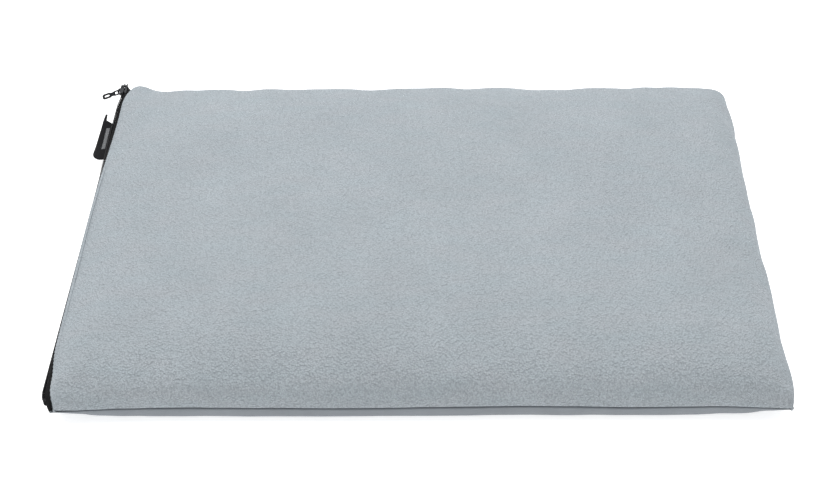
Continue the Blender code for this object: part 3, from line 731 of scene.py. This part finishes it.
def nylon_coil():
    m = Finish("nylon_coil", "object")
    scuff = m.noise(3 * MM, detail=3)
    tone = m.mix(m.ramp(scuff, 0.3, 0.8), rgba(0.004, 0.004, 0.005), rgba(0.016, 0.016, 0.018))
    return m.set(Base_Color=tone, Roughness=m.ramp(scuff, 0.2, 0.8, 0.35, 0.55),
                 Normal=m.bump(scuff, 0.05 * MM, 0.5), Specular_IOR_Level=0.3)


def painted_metal(name, colour, worn, metallic=0.85, shine=0.5):
    """Painted die-cast metal with brushing and rubbed edges."""
    m = Finish(name, "object")
    brush = m.noise(1.2 * MM, detail=4, stretch=(1.0, 1.0, 8.0))
    spots = m.noise(2.5 * MM, detail=4)
    bevel = m.add("Bevel", {"Radius": 0.4 * MM}, samples=4)["Normal"]
    face = m.add("NewGeometry")["Normal"]
    edge = m.add("VectorMath", {0: bevel, 1: face}, operation="DOT_PRODUCT")["Value"]
    rubbed = m.math("MULTIPLY", m.ramp(edge, 0.995, 0.90), m.ramp(spots, 0.35, 0.6), clamp=True)
    tone = m.mix(m.ramp(brush, 0.3, 0.7), scaled(colour, 0.8), scaled(colour, 1.2))
    tone = m.mix(rubbed, tone, worn)
    return m.set(Base_Color=tone, Metallic=metallic, Normal=m.bump(brush, 0.04 * MM, 0.5),
                 Roughness=m.ramp(spots, 0.3, 0.7, 0.24, 0.42), Specular_IOR_Level=shine)


def sewing_thread(name, colour):
    m = Finish(name, "object")
    twist = m.noise(0.5 * MM, detail=2, stretch=(1.0, 1.0, 2.0))
    tone = m.mix(m.ramp(twist, 0.3, 0.7), scaled(colour, 0.75), scaled(colour, 1.2))
    return m.set(Base_Color=tone, Roughness=m.ramp(twist, 0.2, 0.8, 0.55, 0.8),
                 Normal=m.bump(twist, 0.1 * MM, 0.8), Sheen_Weight=0.1)


def label_weave():
    """Black satin tab with three plain woven bars along it."""
    m = Finish("label_weave")
    axes = m.add("SeparateXYZ", {"Vector": m.where})
    ribs = m.threads(0.5 * MM, "X")
    fuzz = m.noise(1.5 * MM, detail=3)
    along, out = axes["X"], axes["Y"]
    from_middle = m.math("ABSOLUTE", m.math("ADD", along, MARK_MIDDLE))
    inside = m.math("LESS_THAN", from_middle, MARK_HALF_LENGTH)
    repeat = m.math("PINGPONG", m.math("ADD", out, -5.6 * MM), BAR_PITCH)
    from_bar = m.math("ABSOLUTE", m.math("SUBTRACT", repeat, 0.5 * MM))
    bars = m.math("LESS_THAN", from_bar, BAR_HALF)
    from_mark = m.math("ABSOLUTE", m.math("SUBTRACT", out, MARK_OUT))
    field = m.math("LESS_THAN", from_mark, MARK_HALF_WIDTH)
    mark = m.math("MULTIPLY", m.math("MULTIPLY", inside, bars), field)
    # painted shade: the bars darker in the hollows between the ribs
    mark = m.math("MULTIPLY", mark, m.ramp(ribs, 0.0, 0.6, 0.5, 1.0))
    base = m.mix(m.ramp(fuzz, 0.3, 0.7), rgba(0.003, 0.003, 0.004), rgba(0.009, 0.009, 0.010))
    tone = m.mix(mark, base, rgba(0.40, 0.41, 0.42))
    height = m.math("ADD", ribs, m.math("MULTIPLY", fuzz, 0.5))
    return m.set(Base_Color=tone, Roughness=m.ramp(fuzz, 0.2, 0.8, 0.45, 0.7),
                 Normal=m.bump(height, 0.12 * MM, 0.6), Specular_IOR_Level=0.1)


def pale_floor():
    m = Finish("pale_floor", "object")
    mottle = m.noise(0.35, detail=3)
    tone = m.mix(m.ramp(mottle, 0.3, 0.7), rgba(0.90, 0.90, 0.90), rgba(0.92, 0.92, 0.92))
    return m.set(Base_Color=tone, Roughness=0.9, Specular_IOR_Level=0.1,
                 Emission_Color=rgba(1, 1, 1), Emission_Strength=FLOOR_GLOW)


# ============================ building =========================================================

def wear(obj, material):
    obj.data.materials.clear()
    obj.data.materials.append(material)


def lift_taper(y):
    """1 in the middle of the zip, 0 at its two sewn ends."""
    return 1 - smoothstep(MOUTH_FULL, np.where(y < 0, *MOUTH_SHUT), np.abs(y))


def lift(obj):
    """Bend the piece with the mouth: none at the far side of the fold, all of it at the zip."""
    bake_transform(obj, "root", "mouth", start=(FOLD_START, 0, 0), end=(FOLD_END, 0, 0))
    weights = np.zeros(len(obj.data.vertices), np.float32)
    attribute = obj.data.attributes["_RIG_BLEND"]
    attribute.data.foreach_get("value", weights)
    weights *= lift_taper(mesh_points(obj)[:, 1]).astype(np.float32)
    attribute.data.foreach_set("value", weights)


def cloth_point(points, s, t):
    """A point of a grid at parameters s and t, and the outward direction there."""
    columns, rows = points.shape[0] - 1, points.shape[1] - 1
    i = min((s + 1) / 2 * columns, columns - 1e-6)
    j = min((t + 1) / 2 * rows, rows - 1e-6)
    a, b = int(i), int(j)
    f, g = i - a, j - b
    low = points[a, b] * (1 - g) + points[a, b + 1] * g
    high = points[a + 1, b] * (1 - g) + points[a + 1, b + 1] * g
    along = high - low
    across = (points[a, b + 1] - points[a, b]) * (1 - f) + (
        points[a + 1, b + 1] - points[a + 1, b]) * f
    normal = np.cross(along, across)
    return low * (1 - f) + high * f, normal / np.linalg.norm(normal)


def ease(points):
    """Even out simulated movement between neighbouring points."""
    smooth = points.copy()
    smooth[1:-1] = (points[:-2] + 2 * points[1:-1] + points[2:]) / 4
    again = smooth.copy()
    again[:, 1:-1] = (smooth[:, :-2] + 2 * smooth[:, 1:-1] + smooth[:, 2:]) / 4
    return again


def zip_point(depth, y, across):
    """A point by the zip: depth into the pillow, y along, and height across the chain."""
    rises = smoothstep(50 * MM, 160 * MM, y)
    bow = CHAIN_BOW * rises * (1 - smoothstep(172 * MM, 190 * MM, y))
    bend = CHAIN_BEND * (np.maximum(0, -180 * MM - y) / (19.5 * MM)) ** 2
    return np.array([TAPE_X + CHAIN_TURN * y + depth - bow + bend, y,
                     CHAIN_Z + CHAIN_TILT * y + across])


def tape_route(t, side):
    """Across one tape at parameter t of its length: from the chain to inside the cover."""
    v = math.sin(math.pi / 2 * t)
    end = math.sin(math.pi / 2 * TAPE_END_T)
    y = (TAPE_REAR + TAPE_FRONT) / 2 + (TAPE_REAR - TAPE_FRONT) / 2 * v / end
    u = np.array(-1.0)
    x, rim_y = plan(u, np.array(v), side)
    rim_z = float(zip_edge(rim_y, v, side))
    flatness = abs(v) ** RIM_POWER
    lying = float(smoothstep(0.35, 0.95, v) if v > 0 else smoothstep(0.75, 0.98, -v))
    behind = (2 * HEM_ROLL if side > 0 else 2 * WOVEN_ROLL) + 0.6 * MM
    lean = math.radians(0 if side > 0 else 45)
    lean = lean + (math.pi / 2 - lean) * flatness
    way = np.array([math.sin(lean), 0, side * math.cos(lean)])
    entry = np.array([float(x) + behind * (1 - flatness), float(rim_y), rim_z - side * 0.9 * MM])
    across = TAPE_FLAT + ((3.4 if v > 0 else 2.4) * MM - TAPE_FLAT) * lying
    trim = 4 * MM * float(smoothstep(0.93, 0.985, v))
    first = zip_point(0, y, side * TAPE_EDGE)
    second = zip_point(1.2 * MM * lying, y - trim, side * across)
    between = (second + entry) / 2
    return [first, (first + second) / 2, second, between, entry, entry + way * 5 * MM]


def tape(name, side):
    """One tape of the zip, from its chain to the cover's edge."""
    lengthwise = np.linspace(-TAPE_END_T, TAPE_END_T, TAPE_STEPS + 1)
    routes = np.array([tape_route(t, side) for t in lengthwise])
    rows = routes.shape[1] - 1
    uv = cloth_lengths(routes)
    faces = grid_faces(TAPE_STEPS, rows, flip=side > 0)
    obj = add_mesh(name, routes.reshape(-1, 3), faces, uv.reshape(-1, 2))
    finish_cloth(obj, TAPE, 2, offset=0)
    return obj


def coil(name, side):
    """One nylon filament wound in loops that hook over the other side's across the middle."""
    turns = (COIL_REAR - COIL_FRONT) / COIL_PITCH
    steps = int(turns * COIL_STEPS)
    phase = np.linspace(0, turns * 2 * math.pi, steps + 1)
    y = np.linspace(COIL_FRONT, COIL_REAR, steps + 1) + (COIL_PITCH / 2 if side < 0 else 0)
    across = side * (1.46 * MM - 1.19 * MM * np.cos(phase))
    depth = -1.55 * MM + 0.62 * MM * np.sin(phase)
    points = zip_point(depth, y, across).T
    return tube_mesh(name, [points], FILAMENT, sides=5)


def bottom_stop(name):
    """A flat metal staple wrapped over the end of the chain."""
    depth = np.array([0.9, -0.6, -1.2, -1.35, -1.2, -0.6, 0.9]) * MM
    across = np.array([-2.0, -2.5, -1.8, 0.0, 1.8, 2.5, 2.0]) * MM
    knots = np.linspace(0, 1, len(depth))
    fine = np.linspace(0, 1, 31)
    depth, across = np.interp(fine, knots, depth), np.interp(fine, knots, across)
    strands = []
    for shift in (-0.8, -0.27, 0.27, 0.8):
        y = COIL_FRONT - 0.6 * MM + shift * MM
        strands.append(zip_point(depth, y + 0 * depth, across).T)
    return tube_mesh(name, strands, STAPLE_WIRE, sides=8)


def side_tab(name):
    """The folded tab: a flat loop with a rounded front end and a pointed rear one."""
    along = np.linspace(-36, 31, 68) * MM
    outer = np.interp(along, [-30 * MM, 20 * MM, 31 * MM], [18.2 * MM, 15.6 * MM, 14.6 * MM])
    front = np.clip((along + 36.5 * MM) / (14 * MM), 0, 1)
    outer = outer * (0.35 + 0.65 * np.sqrt(1 - (1 - front) ** 2))
    inner = np.interp(along, [13 * MM, 22 * MM, 31 * MM], [0, 12.2 * MM, 12.6 * MM])
    middle = (along[0] + along[-1]) / 2
    reach = np.abs(along - middle) / (along[-1] - middle)
    shares = np.linspace(0, 1, 13)
    sheets = []
    for face in (1, -1):
        b = inner[:, None] + (outer - inner)[:, None] * shares
        round_b = (1 - np.abs(2 * shares - 1) ** 6) ** 0.5
        round_a = (1 - reach ** 24) ** 0.5
        half = LABEL_THICKNESS / 2 * round_b[None, :] * round_a[:, None]
        sag = -LABEL_DROOP * smoothstep(0.5 * MM, 4.5 * MM, b) - 6.0 * b ** 2
        sag = sag + 0.6 * MM * np.sin(along[:, None] / (9 * MM)) * b / LABEL_WIDTH
        curl = LABEL_CURL * smoothstep(8 * MM, 31 * MM, along)[:, None] * (b / LABEL_WIDTH) ** 2
        z = LABEL_PIVOT[1] + sag + curl + face * half
        x = LABEL_PIVOT[0] - b
        y = LABEL_Y + along[:, None] + 0 * b
        sheets.append(np.stack([x, y, z], -1))
    columns, rows = len(along) - 1, len(shares) - 1
    vertices = np.concatenate([sheet.reshape(-1, 3) for sheet in sheets])
    uv = np.stack([along[:, None] + 0 * b, b], -1).reshape(-1, 2)
    faces = grid_faces(columns, rows, flip=True)
    count = (columns + 1) * (rows + 1)
    faces += [tuple(count + k for k in face[::-1]) for face in faces]
    obj = add_mesh(name, vertices, faces, np.concatenate([uv, uv]))
    modifier = obj.modifiers.new("weld", "WELD")
    modifier.merge_threshold = 0.02 * MM
    bake(obj)
    return obj


def inner_grid(half, rim, crown, floor, side, seed, pucker):
    """A liner or foam surface, smaller than the cover by its own half sides."""
    def shape(u, v):
        corner = CORNER_PULL[1] * (np.abs(u) * np.abs(v)) ** 12
        x, y = u * (half[0] - corner), v * (half[1] - corner)
        if side > 0:
            rise = shoulder(u, SHOULDER_X) * shoulder(v, SHOULDER_REAR - 0.4)
            z = rim + (crown - rim) * rise
        else:
            z = floor + (rim - floor) * hollow(u, v)
        near = np.maximum(np.abs(u), np.abs(v)) ** 12
        near = near * (1 - near)
        z = z - side * pucker * 4 * near * np.abs(waves(x, y, seed, 14 * MM))
        return np.stack([x, y, z], -1)
    return grid_of(shape, INNER_COLUMNS, INNER_ROWS)


def liner_half(name, side):
    """One panel of the foam's liner, puckered along its seam."""
    half = (LINER_HALF[0] - 0.2 * MM, LINER_HALF[1] - 0.2 * MM)
    rim = SEAM_Z + side * 1.5 * GAP
    crown, floor = HEIGHT - FLEECE - 4 * GAP, WOVEN + 2 * GAP
    points, _, _ = inner_grid(half, rim, crown, floor, side, 21.0, 0.5 * MM)
    uv = cloth_lengths(points)
    faces = grid_faces(INNER_COLUMNS, INNER_ROWS, flip=side < 0)
    obj = add_mesh(name, points.reshape(-1, 3), faces, uv.reshape(-1, 2))
    finish_cloth(obj, LINER, 0)
    return obj


def foam_block(name):
    """The foam slab, closed all round."""
    inside = LINER + GAP
    crown = HEIGHT - FLEECE - GAP - inside - 1.3 * MM
    floor = WOVEN + GAP + inside + 0.8 * MM
    top, _, _ = inner_grid(CORE_HALF, SEAM_Z + 0.5 * MM, crown, floor, 1, 31.0, 0.0)
    bottom, _, _ = inner_grid(CORE_HALF, SEAM_Z - 0.5 * MM, crown, floor, -1, 31.0, 0.0)
    obj = add_mesh(name, *closed_bag(top, bottom))
    obj.data.shade_smooth()
    return obj


def care_tag(name):
    """A small plain tag, gently curved, hanging inside the zip's lower edge."""
    x, y, z = CARE_LABEL_AT
    along = np.linspace(-20, 20, 21) * MM
    up = np.linspace(-11, 11, 12) * MM
    a, b = np.meshgrid(along, up, indexing="ij")
    bend = 0.25 * MM * np.sin(a / (6 * MM)) - 0.2 * MM * np.cos(b / (7 * MM))
    points = np.stack([x + bend, y + a, z + b], -1)
    faces = grid_faces(len(along) - 1, len(up) - 1)
    obj = add_mesh(name, points.reshape(-1, 3), faces, np.stack([a, b], -1).reshape(-1, 2))
    finish_cloth(obj, CARE_LABEL_THICKNESS, 1, offset=0)
    return obj


def build_cover():
    grids = [grid_of(top_shape), grid_of(bottom_shape)]
    shifts = inflate(grids, slack=SLACK, cap=LARGEST_SHIFT)
    grids = [(points + ease(shift), u, v) for (points, u, v), shift in zip(grids, shifts)]
    top = panel("cover_fleece", *grids[0], 1, FLEECE)
    bottom = panel("cover_woven", *grids[1], -1, WOVEN)
    return grids, top, bottom


def build():
    fleece = brushed_fleece()
    grey = woven("woven_grey", rgba(0.240, 0.262, 0.285), 0.8 * MM)
    black_tape = zip_tape()
    nylon = nylon_coil()
    gunmetal = painted_metal("gunmetal", rgba(0.022, 0.023, 0.025), rgba(0.22, 0.22, 0.23),
                             metallic=0.6, shine=0.35)
    black_stop = painted_metal("black_stop", rgba(0.008, 0.008, 0.009), rgba(0.03, 0.03, 0.03),
                               metallic=0.1, shine=0.15)
    grey_thread = sewing_thread("grey_thread", rgba(0.30, 0.33, 0.36))
    black_thread = sewing_thread("black_thread", rgba(0.020, 0.021, 0.023))
    liner = knit("liner_knit", rgba(0.74, 0.74, 0.72))
    white = woven("care_label_satin", rgba(0.74, 0.74, 0.73), 0.45 * MM, valley_shade=0.15)

    grids, top, bottom = build_cover()
    wear(top, fleece)
    wear(bottom, grey)
    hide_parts("cover_top_panel", "cover_top_flap")
    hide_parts("cover_bottom_panel")
    lift(top)
    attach(bottom, "root")

    for side, word in ((1, "upper"), (-1, "lower")):
        strip = tape(f"tape_{word}", side)
        wear(strip, black_tape)
        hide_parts(f"zip_tape_{word}")
        chain = coil(f"coil_{word}", side)
        wear(chain, nylon)
        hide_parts(f"zip_coil_{word}")
        surface = grids[0 if side > 0 else 1][0]
        places = np.linspace(-HEM_STITCH_END, HEM_STITCH_END, 240)
        route = [cloth_point(surface, HEM_STITCH_S, t) for t in places]
        route = [(p + side * n * 0.12 * MM, side * n) for p, n in route]
        row = stitches(f"hem_stitch_{word}", route)
        wear(row, grey_thread if side > 0 else black_thread)
        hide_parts(f"zip_stitch_{word}")
        for piece in (strip, chain, row):
            if side > 0:
                lift(piece)
            else:
                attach(piece, "root")
        half = liner_half(f"liner_{word}", side)
        wear(half, liner)
        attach(half, "root")
        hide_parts("liner_top_panel" if side > 0 else "liner_bottom_panel")

    foam = foam_block("foam_slab")
    wear(foam, open_cell_foam())
    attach(foam, "root")
    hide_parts("foam_core")

    stop = bottom_stop("bottom_stop")
    wear(stop, black_stop)
    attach(stop, "root")
    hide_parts("zip_bottom_stop")

    tab = side_tab("side_tab")
    wear(tab, label_weave())
    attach(tab, "label")
    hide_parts("side_label")
    tag = care_tag("care_tag")
    wear(tag, white)
    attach(tag, "root")
    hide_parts("care_label")

    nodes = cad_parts
    for name in ("slider_body", "slider_pull"):
        wear(nodes[name], gunmetal)
    for name in ("zip_top_stop_upper", "zip_top_stop_lower"):
        wear(nodes[name], black_stop)
    for name, node in nodes.items():
        if "thread" in name or "overlock" in name:
            wear(node, grey_thread)
    wear(nodes["side_label_stitch"], black_thread)


def light_and_camera():
    corners = [(x * FLOOR_HALF, y * FLOOR_HALF, 0) for x, y in ((-1, -1), (1, -1), (1, 1), (-1, 1))]
    floor = add_mesh("floor", corners, [(0, 1, 2, 3)])
    wear(floor, pale_floor())
    floor.location.z = FLOOR_Z

    world = bpy.data.worlds.new("studio")
    world.use_nodes = True
    sky = world.node_tree.nodes["Background"]
    sky.inputs["Color"].default_value = rgba(0.98, 0.99, 1.0)
    sky.inputs["Strength"].default_value = SKY_STRENGTH
    bpy.context.scene.world = world

    light = bpy.data.lights.new("overhead", "AREA")
    light.shape = "RECTANGLE"
    light.size, light.size_y = LAMP_SIZE
    light.energy = LAMP_POWER
    lamp = bpy.data.objects.new("overhead", light)
    lamp.location = LAMP_AT
    bpy.context.scene.collection.objects.link(lamp)

    camera = bpy.data.cameras.new("camera")
    camera.lens = CAMERA_LENS
    camera.sensor_width = 36
    camera.clip_start = 0.05
    holder = bpy.data.objects.new("camera", camera)
    bpy.context.scene.collection.objects.link(holder)
    turned = Matrix.Rotation(-CAMERA_YAW, 4, "Z")
    tilted = Matrix.Rotation(math.pi / 2 - CAMERA_ELEVATION, 4, "X")
    rolled = Matrix.Rotation(CAMERA_ROLL, 4, "Z")
    holder.matrix_world = Matrix.Translation(CAMERA_AT) @ turned @ tilted @ rolled
    bpy.context.scene.camera = holder
    bpy.context.scene.view_settings.view_transform = "Standard"


build()
light_and_camera()
